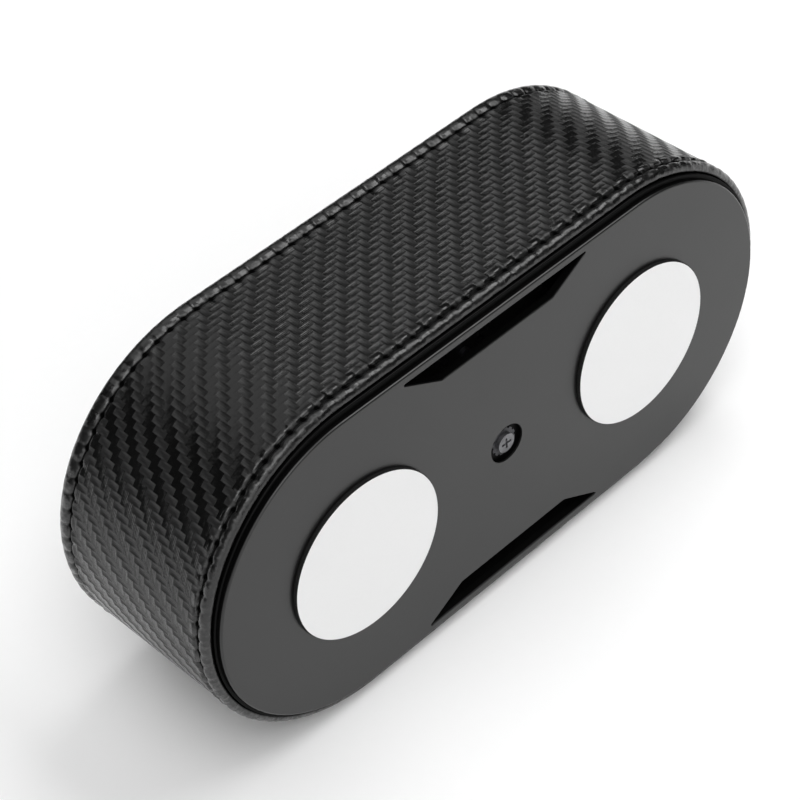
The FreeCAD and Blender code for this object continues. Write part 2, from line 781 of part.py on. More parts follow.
def gear_outline(teeth):
    """Closed involute outline with a tooth centred on +X, its flanks drawn as arcs."""
    pressure = math.radians(20)
    pitch = SIZES["gear_module"] * teeth / 2
    base = pitch * math.cos(pressure)
    tip = pitch + 0.9 * SIZES["gear_module"]
    root = pitch - 1.2 * SIZES["gear_module"]
    half_pitch = math.pi / (2 * teeth) - SIZES["gear_backlash"] / (4 * pitch)

    def half_angle(radius):
        return half_pitch + involute(pressure) - involute(math.acos(min(base / radius, 1.0)))

    def at(radius, angle):
        return FreeCAD.Vector(radius * math.cos(angle), radius * math.sin(angle), 0)

    low = max(base, root)
    levels = low, (low + tip) / 2, tip
    edges = []
    for tooth in range(teeth):
        middle_angle = 2 * math.pi * tooth / teeth
        next_angle = middle_angle + 2 * math.pi / teeth
        foot = half_angle(low)
        rising = [at(radius, middle_angle - half_angle(radius)) for radius in levels]
        falling = [at(radius, middle_angle + half_angle(radius)) for radius in reversed(levels)]
        root_start = at(root, middle_angle + foot)
        root_end = at(root, next_angle - foot)
        if root < low:
            edges.append(Part.LineSegment(at(root, middle_angle - foot), rising[0]))
        edges.append(Part.Arc(*rising))
        edges.append(Part.Arc(rising[-1], at(tip, middle_angle), falling[0]))
        edges.append(Part.Arc(*falling))
        if root < low:
            edges.append(Part.LineSegment(falling[-1], root_start))
        edges.append(Part.Arc(root_start, at(root, middle_angle + math.pi / teeth), root_end))
    return Part.Wire([edge.toShape() for edge in edges])


def gear(label, teeth, spot, turn, bore, hub, thick, front):
    """A spur gear with a hub on its rear side, turned so that a tooth points the given way."""
    along = FreeCAD.Vector(0, 0, 1)
    hub_radius, hub_length = hub
    solid = Part.Face(gear_outline(int(teeth.value))).extrude(along * thick.value)
    if hub_length.value > 0:
        solid = solid.fuse(Part.makeCylinder(hub_radius.value, thick.value + hub_length.value))
    solid = solid.cut(Part.makeCylinder(bore.value, thick.value + hub_length.value))
    owner = doc.addObject("Part::Feature", f"{label}_solid")
    owner.Shape = solid.removeSplitter()
    spin = FreeCAD.Rotation(along, math.degrees(turn))
    x, z = spot
    place(owner, x, front, z, TOWARD_BACK.multiply(spin))
    return piece(label, owner)


def make_gears():
    """The train in mesh: the pinion has a tooth pointing straight down, and the rest follow it."""
    teeth_pinion, teeth_idler, teeth_spindle = [
        int(SIZES[name]) for name in ("pinion_teeth", "idler_teeth", "spindle_teeth")]
    pitch_angle = 2 * math.pi / teeth_pinion
    gear("drive_pinion", S.pinion_teeth, (Size.of(0), motor_z), -math.pi / 2,
         S.motor_shaft_radius + S.snug_gap, (S.motor_shaft_radius, Size.of(0)),
         S.gear_thick + 2 * S.pinion_overhang, gear_front + S.pinion_overhang)
    for side, sign in SIDES:
        outward = math.atan2(-pinion_rise.value, sign * S.station_offset.value)
        pinion_phase = math.remainder(-math.pi / 2 - outward, pitch_angle)
        idler_phase = -pinion_phase * teeth_pinion / teeth_idler
        spindle_phase = -idler_phase * teeth_idler / teeth_spindle
        inward = outward + math.pi
        idler_turn = inward + idler_phase + math.pi / teeth_idler
        gear(f"idler_gear_{side}", S.idler_teeth, (sign * idler_offset, middle + idler_rise), idler_turn,
             S.pin_radius + S.run_gap, (S.idler_hub_radius, S.gear_hub), S.gear_thick, gear_front)
        gear(f"spindle_gear_{side}", S.spindle_teeth, (sign * S.station_offset, middle),
             inward + spindle_phase, S.spindle_radius + S.snug_gap,
             (S.gear_hub_radius, S.gear_hub), S.gear_thick, gear_front)


def grooved_shaft(name, radius, y_front, x, z):
    """A plain shaft with a clip groove near its rear end."""
    bar = cylinder(f"{name}_bar", radius, shaft_rear, y_front, x, z)
    groove = ring(f"{name}_groove", radius + S.clip_groove, radius - S.clip_groove,
                  clip_front - S.clip_thick - S.run_gap, clip_front + S.run_gap, x, z)
    return cut(name, bar, groove)


def open_clip(name, radius, x, z):
    """A snap ring that sits in a shaft's groove, with its opening to one side."""
    inner = radius - S.clip_groove + S.run_gap
    whole = ring(f"{name}_ring", radius + S.clip_width, inner, clip_front - S.clip_thick, clip_front, x, z)
    mouth = box(f"{name}_mouth", (x, x + radius + 2 * S.clip_width),
                (clip_front - S.clip_thick, clip_front), (z - inner * 0.8, z + inner * 0.8))
    return cut(name, whole, mouth)


def make_shafts():
    for side, sign in SIDES:
        x = sign * S.station_offset
        spindle = grooved_shaft(f"spindle_{side}_cut", S.spindle_radius, hub_front - S.hub_cap, x, middle)
        piece(f"spindle_{side}", spindle)
        piece(f"spindle_clip_{side}", open_clip(f"spindle_clip_{side}_cut", S.spindle_radius, x, middle))
        tail = cylinder(f"bush_{side}_tail", S.bush_radius, bush_rear, deck_front, x, middle)
        flange = cylinder(f"bush_{side}_flange", S.bush_flange_radius, deck_front,
                          deck_front + S.bush_flange_thick, x, middle)
        bore = cylinder(f"bush_{side}_bore", S.spindle_radius + S.run_gap, bush_rear,
                        deck_front + S.bush_flange_thick, x, middle)
        bush = cut(f"bush_{side}_cut", fuse(f"bush_{side}_solid", tail, flange), bore)
        piece(f"spindle_bush_{side}", bush)
        x = sign * idler_offset
        z = middle + idler_rise
        piece(f"idler_pin_{side}", grooved_shaft(f"idler_pin_{side}_cut", S.pin_radius, deck_front, x, z))
        piece(f"idler_clip_{side}", open_clip(f"idler_clip_{side}_cut", S.pin_radius, x, z))


def make_motor():
    end = deck_front + S.motor_length
    can = cylinder("motor_can", S.motor_radius, deck_front, end, 0, motor_z)
    collar = cylinder("motor_collar", S.motor_collar_radius, deck_rear, deck_front, 0, motor_z)
    tabs = [box(f"motor_tab_{side}",
                (sign * S.terminal_offset - S.lead_radius, sign * S.terminal_offset + S.lead_radius),
                (end, end + S.terminal_length), (motor_z - S.contact_thick, motor_z + S.contact_thick))
            for side, sign in SIDES]
    bearing = cylinder("motor_bearing_bore", S.motor_shaft_radius + S.run_gap, deck_rear,
                       deck_front + S.motor_bearing + S.face_gap, 0, motor_z)
    spots = [(Size.of(0), motor_z + sign * S.motor_screw_offset) for sign in (-1, 1)]
    holes = [cylinder(f"motor_hole_{index}", S.small_screw_radius + S.snug_gap, deck_front,
                      deck_front + S.small_screw_length, x, z) for index, (x, z) in enumerate(spots)]
    piece("motor", cut("motor_cut", fuse("motor_solid", can, collar, *tabs), bearing, *holes))
    pinion_rear = gear_rear - S.pinion_overhang
    shaft = cylinder("motor_shaft_bar", S.motor_shaft_radius, pinion_rear - S.shaft_end,
                     deck_front + S.motor_bearing, 0, motor_z)
    piece("motor_shaft", shaft)
    screws = [small_screw(f"motor_screw_{index}", spot, deck_rear) for index, spot in enumerate(spots)]
    piece("motor_screws", group("motor_screw_pair", screws))


def make_drums():
    grip_in = S.cushion_half_length + S.cushion_clear
    grip_half = S.grip_half_width
    grip_out = (drum_inner * drum_inner - grip_half * grip_half).root() + S.drum_wall / 3
    for side, sign in SIDES:
        x = sign * S.station_offset
        drum = Moulding(f"drum_{side}", x)
        drum.pad(drum_rear, drum_front, circle(S.drum_radius))
        drum.pocket(drum_floor_front, drum_front, circle(drum_inner))
        drum.pad(drum_floor_front, hub_front, circle(S.hub_radius))
        drum.pocket(drum_rear, hub_front - S.hub_cap, circle(S.spindle_radius + S.snug_gap))
        drum.pad(drum_floor_front, drum_floor_front + S.grip_height,
                 rectangle((grip_in, grip_out), (-grip_half, grip_half)),
                 rectangle((-grip_out, -grip_in), (-grip_half, grip_half)))
        lining = ring(f"lining_{side}", grip_in - S.cushion_clear, S.hub_radius + S.fit_gap,
                      drum_floor_front, drum_floor_front + S.lining_thick, x, middle)
        piece(f"drum_lining_{side}", lining)


def make_cushions():
    half_x = S.cushion_half_length
    half_z = S.cushion_half_width
    for side, sign in SIDES:
        cushion = Moulding(f"cushion_{side}", sign * S.station_offset)
        cushion.pad(cushion_rear, cushion_front, rectangle((-half_x, half_x), (-half_z, half_z)))
        cushion.fillet(S.cushion_corner, at_corners(half_x, half_z))
        cushion.fillet(S.cushion_round, at_level(cushion_rear, cushion_front))


def make_front_panel():
    panel = cover("front_panel", 1, panel_in)
    panel.pocket(panel_in, rim, *pair(S.station_offset, 0, S.opening_radius))
    panel.pad(panel_lug_front, panel_in, *four(S.lug_offset, lug_height, S.panel_boss_radius))
    panel.pocket(panel_lug_front, panel_in, *four(S.lug_offset, lug_height, S.screw_radius + S.snug_gap))
    posts = [circle(S.post_radius, 0, sign * S.post_offset) for sign in (-1, 1)]
    pilots = [circle(S.small_screw_radius + S.snug_gap, 0, sign * S.post_offset) for sign in (-1, 1)]
    panel.pad(board_front, panel_in, *posts)
    panel.pocket(board_front, panel_in, *pilots)
    panel.pocket(panel_in, rim, circle(S.button_radius + S.fit_gap, 0, -S.button_drop),
                 circle(S.knob_shaft_radius + S.fit_gap, 0, S.knob_rise),
                 circle(S.led_radius + S.fit_gap))
    spots = [(sign_x * S.lug_offset, middle + sign_z * lug_height)
             for sign_x in (-1, 1) for sign_z in (-1, 1)]
    length = S.panel_lug_depth + S.panel_boss_radius - S.face_gap
    screws = [large_screw(f"panel_screw_{index}", spot, panel_lug_rear, length)
              for index, spot in enumerate(spots)]
    piece("panel_screws", group("panel_screw_set", screws))
    for side, sign in SIDES:
        x = sign * S.station_offset
        outer = S.opening_radius - S.fit_gap
        sleeve = cylinder(f"trim_{side}_sleeve", outer, panel_in, rim, x, middle)
        flange = cylinder(f"trim_{side}_flange", S.opening_radius + S.trim_width, rim,
                          rim + S.trim_thick, x, middle)
        bore = cylinder(f"trim_{side}_bore", outer - S.trim_wall, panel_in, rim + S.trim_thick, x, middle)
        trim = cut(f"trim_{side}_cut", fuse(f"trim_{side}_solid", sleeve, flange), bore)
        piece(f"trim_ring_{side}", trim)


def make_controls():
    blank = box("board_blank", (-S.board_half_width, S.board_half_width), (board_rear, board_front),
                (middle - S.board_half_length, middle + S.board_half_length))
    spots = [(Size.of(0), middle + sign * S.post_offset) for sign in (-1, 1)]
    holes = [cylinder(f"board_hole_{index}", S.small_screw_radius + S.fit_gap, board_rear, board_front, x, z)
             for index, (x, z) in enumerate(spots)]
    piece("control_board", cut("board_cut", blank, *holes))
    screws = [small_screw(f"board_screw_{index}", spot, board_rear) for index, spot in enumerate(spots)]
    piece("board_screws", group("board_screw_pair", screws))

    button_z = middle - S.button_drop
    half = S.button_switch_half
    piece("button_switch", box("button_switch_box", (-half, half),
                               (board_front, board_front + S.button_switch_height),
                               (button_z - half, button_z + half)))
    flange_front = panel_in - S.face_gap / 2
    flange_rear = flange_front - S.button_flange_thick
    stem_rear = board_front + S.button_switch_height + S.button_travel + S.face_gap
    button = fuse("button_solid",
                  cylinder("button_cap", S.button_radius, flange_front, rim + S.button_proud, 0, button_z),
                  cylinder("button_flange_disc", S.button_radius + S.button_flange,
                           flange_rear, flange_front, 0, button_z),
                  cylinder("button_stem", S.button_stem_radius, stem_rear, flange_rear, 0, button_z))
    piece("power_button", button)

    knob_z = middle + S.knob_rise
    half = S.mode_switch_half
    switch_front = board_front + S.mode_switch_height
    piece("mode_switch", box("mode_switch_box", (-half, half), (board_front, switch_front),
                             (knob_z - half, knob_z + half)))
    knob_rear = rim + S.face_gap
    knob_front = knob_rear + S.knob_height
    shaft_front = knob_front - S.knob_cap
    piece("mode_shaft", cylinder("mode_shaft_bar", S.knob_shaft_radius, switch_front + S.face_gap / 2,
                                 shaft_front, 0, knob_z))
    blank = cylinder("knob_blank", S.knob_radius, knob_rear, knob_front, 0, knob_z)
    bore = cylinder("knob_bore", S.knob_shaft_radius + S.snug_gap, knob_rear, shaft_front, 0, knob_z)
    flutes = []
    count = int(S.knob_flutes.value)
    for index in range(count):
        turn = 2 * math.pi * (index + 0.5) / count
        x = S.knob_radius * math.cos(turn)
        z = knob_z + S.knob_radius * math.sin(turn)
        flutes.append(cylinder(f"knob_flute_{index}", S.knob_flute_radius, knob_rear, knob_front, x, z))
    mark = box("knob_mark", (-S.cross_width / 2, S.cross_width / 2),
               (knob_front - S.cross_width, knob_front),
               (knob_z + S.knob_radius / 3, knob_z + S.knob_radius))
    piece("mode_knob", cut("knob_cut", blank, bore, mark, *flutes))

    lens = fuse("led_solid",
                cylinder("led_barrel", S.led_radius, board_front, rim + S.led_proud, 0, middle),
                cylinder("led_base", S.led_radius + S.led_foot, board_front, board_front + S.led_foot,
                         0, middle))
    piece("led_lens", lens)


def write_parts():
    """Check every object of the document, then write one file for each sub-part."""
    doc.recompute()
    for owner in doc.Objects:
        if "Invalid" in owner.State or "Error" in owner.State:
            raise RuntimeError(f"{owner.Label} failed: {owner.State}")
    for owner in pieces:
        if owner.Shape.isNull() or not owner.Shape.isValid():
            raise RuntimeError(f"{owner.Label} has no sound shape")
    os.makedirs("parts", exist_ok=True)
    for owner in pieces:
        owner.Shape.exportStep(f"parts/{owner.Label}.step")
    print(len(pieces), "sub-parts written")


make_leather_wrap()
make_foam_sleeve()
make_shell()
make_back_plate()
make_pads()
make_plate_screw()
make_deck()
make_deck_screws()
make_battery_bay()
make_leads()
make_gears()
make_shafts()
make_motor()
make_drums()
make_cushions()
make_front_panel()
make_controls()
write_parts()
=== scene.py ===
import json
import math

import bpy
import bmesh
import numpy as np
from mathutils import Matrix, Vector


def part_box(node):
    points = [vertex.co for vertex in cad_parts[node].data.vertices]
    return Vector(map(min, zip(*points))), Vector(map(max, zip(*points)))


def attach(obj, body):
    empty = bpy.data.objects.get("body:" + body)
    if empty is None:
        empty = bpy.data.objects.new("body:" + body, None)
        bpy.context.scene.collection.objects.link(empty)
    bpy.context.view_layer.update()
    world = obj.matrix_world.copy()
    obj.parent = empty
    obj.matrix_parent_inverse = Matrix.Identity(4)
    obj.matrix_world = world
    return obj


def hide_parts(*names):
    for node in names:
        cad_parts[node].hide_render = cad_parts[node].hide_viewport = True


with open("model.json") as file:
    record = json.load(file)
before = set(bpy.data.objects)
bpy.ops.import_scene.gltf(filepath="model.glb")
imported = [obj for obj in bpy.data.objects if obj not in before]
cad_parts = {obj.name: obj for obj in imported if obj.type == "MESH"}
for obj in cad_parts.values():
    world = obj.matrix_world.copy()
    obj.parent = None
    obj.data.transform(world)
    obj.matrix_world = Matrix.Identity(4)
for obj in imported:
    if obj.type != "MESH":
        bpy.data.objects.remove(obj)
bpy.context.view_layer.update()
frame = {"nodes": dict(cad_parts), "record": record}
nodes = frame["nodes"]
scene = bpy.context.scene
scene.view_settings.view_transform = "Standard"

# Sizes in metres, worked out from the frame's leather and back plate
MM = 0.001
leather_low, leather_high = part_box("leather_wrap")
HEM = leather_high[1]  # half the leather's depth
WRAP_RADIUS = (leather_high[2] - leather_low[2]) / 2  # outside of its round ends
MIDDLE = (leather_high[2] + leather_low[2]) / 2  # height of the two stations
STATION = leather_high[0] - WRAP_RADIUS  # each station's distance from the box's middle
BACK_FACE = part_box("back_plate")[0][1]
PERIMETER = 4 * STATION + 2 * math.pi * WRAP_RADIUS
STITCHES = 114
PITCH = PERIMETER / STITCHES
STITCH_LINE = HEM - 3.4 * MM
STITCH_SLANT = 0.5 * MM  # how far a stitch lies askew from end to end
TWILL_REPEATS = 66
TOW = PERIMETER / (4 * TWILL_REPEATS)
SIDES = (("left", -1), ("right", 1))

# Each hem's side and the seed of its stitches
HEMS = {"back": (-1, 11), "front": (1, 23)}
# The front hem is folded wider than the back one, over these lengths from the stitch line
HEM_EXTRA = {-1: 0.0, 1: 1.4 * MM}
HEM_REACH = (-26.0 * MM, -3.5 * MM, 0.4 * MM, 3.2 * MM)


# Shader values and finishes
class Signal:
    """A value in a node tree, used in sums like a number."""

    def __init__(self, wiring, socket):
        self.wiring = wiring
        self.socket = socket

    def maths(self, operation, *values):
        return self.wiring.node("ShaderNodeMath", {"operation": operation}, values)

    def __add__(self, other):
        return self.maths("ADD", self, other)

    __radd__ = __add__

    def __sub__(self, other):
        return self.maths("SUBTRACT", self, other)

    def __rsub__(self, other):
        return self.maths("SUBTRACT", other, self)

    def __mul__(self, other):
        return self.maths("MULTIPLY", self, other)

    __rmul__ = __mul__

    def __truediv__(self, other):
        return self.maths("DIVIDE", self, other)

    def __pow__(self, other):
        return self.maths("POWER", self, other)

    def __lt__(self, other):
        return self.maths("LESS_THAN", self, other)

    def floor(self):
        return self.maths("FLOOR", self)

    def wrapped(self, length):
        return self.maths("FLOORED_MODULO", self, length)

    def size(self):
        return self.maths("ABSOLUTE", self)

    def larger(self, other):
        return self.maths("MAXIMUM", self, other)

    def ribs(self):
        """A wave with one crest in each whole step of the value."""
        return self.maths("COSINE", self * (2 * math.pi))

    def smooth(self, low, high):
        """A soft step from 0 at low to 1 at high."""
        settings = {"interpolation_type": "SMOOTHSTEP"}
        return self.wiring.node("ShaderNodeMapRange", settings,
                                {"Value": self, "From Min": low, "From Max": high})


class Wiring:
    """A node tree and the ways to add to it."""

    def __init__(self, tree):
        self.tree = tree

    def node(self, kind, settings, sockets, output=0):
        """A new node with its settings and inputs, as the value of one of its outputs."""
        made = self.tree.nodes.new(kind)
        for name, value in settings.items():
            setattr(made, name, value)
        pairs = sockets.items() if isinstance(sockets, dict) else enumerate(sockets)
        for key, value in pairs:
            self.feed(made.inputs[key], value)
        return Signal(self, made.outputs[output])

    def feed(self, socket, value):
        if isinstance(value, Signal):
            self.tree.links.new(value.socket, socket)
        else:
            socket.default_value = value

    def axis(self, vector, index):
        return self.node("ShaderNodeSeparateXYZ", {}, [vector], index)


class Finish(Wiring):
    """A procedural finish: a Principled surface and the nodes that vary it."""

    def __init__(self, name, **constants):
        self.material = bpy.data.materials.new(name)
        self.material.use_nodes = True
        super().__init__(self.material.node_tree)
        self.surface = self.tree.nodes["Principled BSDF"]
        self.set(**constants)

    def set(self, **values):
        for name, value in values.items():
            self.feed(self.surface.inputs[name.replace("_", " ")], value)

    def place(self):
        return self.node("ShaderNodeTexCoord", {}, {}, "Object")

    def noise(self, scale, detail=2.0, where=None):
        sockets = {"Vector": where or self.place(), "Scale": scale, "Detail": detail}
        return self.node("ShaderNodeTexNoise", {}, sockets)

    def cells(self, scale):
        return self.node("ShaderNodeTexVoronoi", {}, {"Vector": self.place(), "Scale": scale})

    def across(self):
        """Two lengths over a sewn or wound piece, in metres, from its map."""
        lengths = self.node("ShaderNodeUVMap", {"uv_map": "lengths"}, {})
        return self.axis(lengths, 0), self.axis(lengths, 1)

    def blend(self, share, first, second):
        return self.node("ShaderNodeMix", {"data_type": "RGBA"}, {0: share, 6: first, 7: second}, 2)

    def raise_by(self, height, distance):
        self.set(Normal=self.node("ShaderNodeBump", {}, {"Height": height, "Distance": distance}))

    def shade(self, share):
        """Paint shade on part of the surface: mix it toward a dull black that no light reaches."""
        dull = self.node("ShaderNodeBsdfDiffuse", {}, {"Color": grey(0.0015)})
        glossy = Signal(self, self.surface.outputs[0])
        mixed = self.node("ShaderNodeMixShader", {}, [share, glossy, dull])
        self.feed(self.tree.nodes["Material Output"].inputs["Surface"], mixed)

    def lean(self, first, second):
        """Tip the surface along the two lengths of its map by the slopes given."""
        tipped = self.node("ShaderNodeCombineXYZ", {}, [0.5 + 0.5 * first, 0.5 + 0.5 * second, 1.0])
        self.set(Normal=self.node("ShaderNodeNormalMap", {"uv_map": "lengths"}, {"Color": tipped}))


def grey(level):
    return (level, level, level, 1.0)


def twill_leather():
    """Black coated leather pressed with a two over two twill of plump, ribbed tows."""
    slope_along = 0.36
    slope_aside = 0.52
    slope_fibre = 0.16
    slope_grain = 0.3
    row_height = 1.03 * TOW
    first_row = 1.49
    finish = Finish("twill_leather", Specular_IOR_Level=0.5, Coat_Roughness=0.25)
    along, over = finish.across()
    u = along / TOW
    v = over / row_height + first_row
    column = u.floor()
    row = v.floor()
    run_u = (u - row).wrapped(4.0)
    run_v = (v - column + 3.0).wrapped(4.0)
    lengthways = run_u < 2.0
    crosswise = 1 - lengthways
    along_tow = lengthways * run_u + crosswise * run_v - 1
    side = lengthways * (v - row) + crosswise * (u - column)
    off_ridge = 2 * side - 1
    fibres = (4.0 * side - 0.25).ribs()
    fullness = 0.3 + 0.7 * crosswise
    fall_along = slope_along * fullness * along_tow * (1 - off_ridge * off_ridge)
    fall_aside = slope_aside * fullness * off_ridge * (1 - along_tow * along_tow) + slope_fibre * fibres
    reach = over.size() - STITCH_LINE
    stretched = reach.smooth(-0.5 * MM, 1.5 * MM)
    rubbed = reach.smooth(-2.4 * MM, -0.6 * MM)
    depth = 1 - 0.7 * stretched
    wear = finish.noise(60.0, 3.0)
    creases = rubbed * (finish.noise(650.0, 3.0) - 0.5)
    grain = slope_grain * (finish.noise(1700.0, 2.0) - 0.5)
    pores = slope_grain * (finish.noise(2100.0, 2.0) - 0.5)
    finish.lean(depth * (lengthways * fall_along + crosswise * fall_aside) + 0.8 * creases + grain,
                depth * (lengthways * fall_aside + crosswise * fall_along) - 0.6 * creases + pores)
    finish.set(Base_Color=finish.blend(wear, grey(0.0012), grey(0.003)),
               Roughness=0.17 + 0.08 * wear + 0.26 * crosswise * depth + 0.06 * rubbed,
               Coat_Weight=0.3 * rubbed)
    # Painted shade: the stitch groove, the stitch holes and the inner curl of the hem are mixed toward dull
    # black.
    turn = along / PITCH
    from_line = reach - STITCH_SLANT * (0.5 - turn.wrapped(1.0))
    from_hole = ((turn + 0.5).wrapped(1.0) - 0.5) * PITCH
    line = from_line.size().smooth(0.6 * MM, 0.2 * MM)
    hole = ((from_hole * from_hole + reach * reach) ** 0.5).smooth(1.25 * MM, 0.55 * MM)
    inside = reach.smooth(4.5 * MM, 5.2 * MM)
    finish.shade(1 - (1 - line) * (1 - hole) * (1 - inside))
    return finish.material


def twisted_thread():
    twist = 1.1 * MM
    strands = 2.0
    finish = Finish("twisted_thread", Specular_IOR_Level=0.08)
    along, round_it = finish.across()
    ply = ((along / twist + round_it * strands).wrapped(1.0) * 2 - 1).size()
    fuzz = finish.noise(5200.0)
    finish.raise_by(1 - ply ** 2.0 + 0.3 * fuzz, 0.10 * MM)
    # Painted shade: the grooves between the strands are coloured darker than their crowns.
    finish.set(Base_Color=finish.blend(ply, grey(0.006), grey(0.002)), Roughness=0.55 + 0.2 * fuzz)
    return finish.material


def moulded(name, level, rough, peel, specular=0.5, back_face=None):
    """Black moulded plastic: fine orange peel, faint handling marks, and painted shade on the walls behind
    a back face.
    """
    finish = Finish(name, Specular_IOR_Level=specular)
    skin = finish.noise(900.0, 2.0)
    marks = finish.noise(45.0, 4.0)
    finish.raise_by(skin, peel)
    finish.set(Base_Color=finish.blend(marks, grey(level * 0.9), grey(level * 1.1)),
               Roughness=rough + 0.08 * (marks - 0.5))
    if back_face is not None:
        # Painted shade: walls set back behind the back face are mixed toward dull black.
        behind = finish.axis(finish.place(), 1) - back_face
        finish.shade(0.85 * behind.smooth(0.35 * MM, 0.7 * MM))
    return finish.material


def metal(name, colour, rough, grain, mottle=1.0):
    """Drawn or plated metal with a fine grain and darker, rougher stains."""
    finish = Finish(name, Metallic=1.0)
    drawn = finish.noise(1500.0, 4.0)
    stain = finish.noise(220.0, 3.0)
    darker = tuple(0.55 * part for part in colour[:3]) + (1.0,)
    finish.raise_by(drawn, grain)
    finish.set(Base_Color=finish.blend(mottle * stain.smooth(0.35, 0.75), colour, darker),
               Roughness=rough + 0.25 * mottle * (stain - 0.4))
    return finish.material


def closed_cell_foam():
    finish = Finish("closed_cell_foam", Specular_IOR_Level=0.25)
    bubbles = finish.cells(2200.0)
    coarse = finish.noise(500.0, 3.0)
    finish.raise_by(bubbles + 0.5 * coarse, 0.12 * MM)
    # Painted shade: the hollow of each cell is coloured darker than the walls round it.
    finish.set(Base_Color=finish.blend(bubbles, grey(0.003), grey(0.010)), Roughness=0.75 + 0.15 * coarse)
    return finish.material


def release_paper():
    finish = Finish("release_paper", Specular_IOR_Level=0.3)
    pulp = finish.noise(1400.0, 4.0)
    cockle = finish.noise(28.0, 2.0)
    finish.raise_by(pulp + 6.0 * cockle, 0.012 * MM)
    finish.set(Base_Color=finish.blend(0.5 * pulp + 0.5 * cockle, grey(0.84), grey(0.80)),
               Roughness=0.42 + 0.12 * pulp)
    return finish.material


def flock():
    finish = Finish("flock", Specular_IOR_Level=0.2, Sheen_Weight=0.35, Sheen_Roughness=0.4)
    pile = finish.noise(3800.0, 3.0)
    brushed = finish.noise(70.0, 3.0)
    finish.raise_by(pile, 0.15 * MM)
    finish.set(Base_Color=finish.blend(0.5 * pile + 0.5 * brushed, grey(0.006), grey(0.022)),
               Roughness=0.85 + 0.1 * pile)
    return finish.material


def suede():
    finish = Finish("suede", Specular_IOR_Level=0.2, Sheen_Weight=0.45, Sheen_Roughness=0.45)
    nap = finish.noise(3000.0, 4.0)
    stroke = finish.noise(55.0, 3.0)
    finish.raise_by(nap + 0.6 * stroke, 0.12 * MM)
    finish.set(Base_Color=finish.blend(stroke.smooth(0.3, 0.7), grey(0.045), grey(0.085)),
               Roughness=0.82 + 0.12 * nap)
    return finish.material


def solder_resist():
    finish = Finish("solder_resist", Specular_IOR_Level=0.5)
    place = finish.place()
    tracks = finish.node("ShaderNodeTexBrick", {"offset": 0.35, "squash": 1.0},
                         {"Vector": place, "Scale": 160.0, "Mortar Size": 0.05}, "Fac")
    stain = finish.noise(300.0, 3.0, place)
    finish.raise_by(tracks, 0.05 * MM)
    finish.set(Base_Color=finish.blend(tracks, (0.010, 0.060, 0.026, 1.0), (0.020, 0.120, 0.050, 1.0)),
               Roughness=0.35 + 0.15 * stain)
    return finish.material


def insulation():
    finish = Finish("insulation", Specular_IOR_Level=0.4)
    skin = finish.noise(1200.0, 3.0)
    finish.raise_by(skin, 0.03 * MM)
    finish.set(Base_Color=finish.blend(skin, grey(0.010), grey(0.022)), Roughness=0.45 + 0.15 * skin)
    return finish.material


def clear_lens():
    finish = Finish("clear_lens", Transmission_Weight=0.5, IOR=1.49)
    flow = finish.noise(400.0, 2.0)
    finish.raise_by(flow, 0.02 * MM)
    finish.set(Base_Color=finish.blend(flow, grey(0.72), grey(0.82)), Roughness=0.12 + 0.1 * flow)
    return finish.material


FINISHES = {
    "leather": twill_leather(),
    "foam": closed_cell_foam(),
    "shell_plastic": moulded("shell_plastic", 0.005, 0.34, 0.010 * MM, 0.5),
    "plate_plastic": moulded("plate_plastic", 0.005, 0.34, 0.008 * MM, 0.65),
    "liner": release_paper(),
    "steel": metal("plain_steel", (0.24, 0.24, 0.25, 1.0), 0.48, 0.02 * MM),
    "bronze": metal("sintered_bronze", (0.46, 0.31, 0.15, 1.0), 0.5, 0.04 * MM),
    "acetal": moulded("dark_acetal", 0.012, 0.5, 0.02 * MM, 0.35),
    "motor_can": metal("zinc_plate", (0.30, 0.30, 0.31, 1.0), 0.38, 0.02 * MM),
    "wire": insulation(),
    "board": solder_resist(),
    "lens": clear_lens(),
    "trim": metal("bright_trim", (0.55, 0.55, 0.56, 1.0), 0.22, 0.004 * MM, 0.15),
    "velvet": flock(),
    "cushion_cloth": suede(),
}
THREAD = twisted_thread()
# A darker copy of the black plastic with almost no reflection: painted shade for the shell and deck inside
# the box.
SHADED_INSIDE = moulded("shaded_inside", 0.002, 0.6, 0.010 * MM, 0.05)

# Nodes that look unlike the rest of their slot
NODE_FINISHES = {
    # The back plate's finish paints shade on its walls behind its face.
    "back_plate": moulded("plate_face", 0.0045, 0.34, 0.008 * MM, 0.56, BACK_FACE),
    "lock_washer": metal("blackened_steel", (0.09, 0.09, 0.095, 1.0), 0.5, 0.02 * MM),
    "shell": SHADED_INSIDE,
    "deck": SHADED_INSIDE,
}

for subpart in frame["record"]["subparts"]:
    dressed = NODE_FINISHES.get(subpart["node"], FINISHES[subpart["material_slot"]])
    for holder in nodes[subpart["node"]].material_slots:
        holder.material = dressed


# Meshes
def build(name, points, faces, material, lengths=None):
    """A smooth mesh object; lengths holds two lengths in metres for each face corner."""
    mesh = bpy.data.meshes.new(name)
    mesh.from_pydata([tuple(point) for point in points], [], [tuple(face) for face in faces])
    mesh.polygons.foreach_set("use_smooth", [True] * len(mesh.polygons))
    mesh.materials.append(material)
    if lengths is not None:
        layer = mesh.uv_layers.new(name="lengths")
        layer.data.foreach_set("uv", np.asarray(lengths, dtype=float).ravel())
    mesh.validate()
    made = bpy.data.objects.new(name, mesh)
    scene.collection.objects.link(made)
    return made


